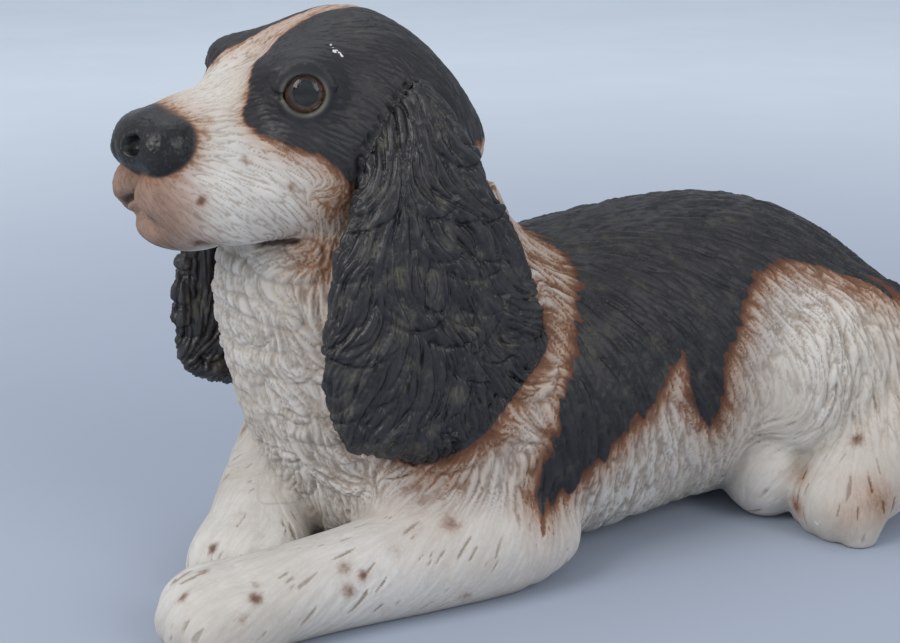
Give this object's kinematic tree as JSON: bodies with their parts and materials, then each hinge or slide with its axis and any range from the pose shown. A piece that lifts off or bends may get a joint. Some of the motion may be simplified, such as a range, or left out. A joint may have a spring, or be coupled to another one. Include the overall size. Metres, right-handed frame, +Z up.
{
  "type": "dog figurine",
  "caption": "Lying spaniel figurine with raised head and long ears: hollow ceramic trunk and head, luted-on ears, legs and tail, and inset glass eyes.",
  "frame": {"origin": "on the surface that the dog lies on, under the middle of its whole outline", "axes": "+Z up, -Y the way that the dog looks, +X its left side"},
  "size_m": [0.1708, 0.4304, 0.2118],
  "materials": {
    "cream_painted_ceramic": "matte cold-painted cream white over textured bisque, with brown airbrushed edges and freckles",
    "black_painted_ceramic": "satin charcoal black paint over textured bisque, worn paler on the ridges",
    "eye_glass": "clear polished glass cabochon",
    "iris_enamel": "dark brown enamel",
    "pupil_enamel": "black enamel"
  },
  "bodies": {
    "root": {"trunk_casting": "cream_painted_ceramic", "rump_casting": "cream_painted_ceramic", "head_casting": "cream_painted_ceramic", "left_foreleg": "cream_painted_ceramic", "right_foreleg": "cream_painted_ceramic", "left_hind_leg": "cream_painted_ceramic", "right_hind_paw": "cream_painted_ceramic", "left_ear": "black_painted_ceramic", "right_ear": "black_painted_ceramic", "tail": "black_painted_ceramic", "left_eye_glass": "eye_glass", "left_eye_iris": "iris_enamel", "left_eye_pupil": "pupil_enamel", "right_eye_glass": "eye_glass", "right_eye_iris": "iris_enamel", "right_eye_pupil": "pupil_enamel"}
  },
  "joints": []
}
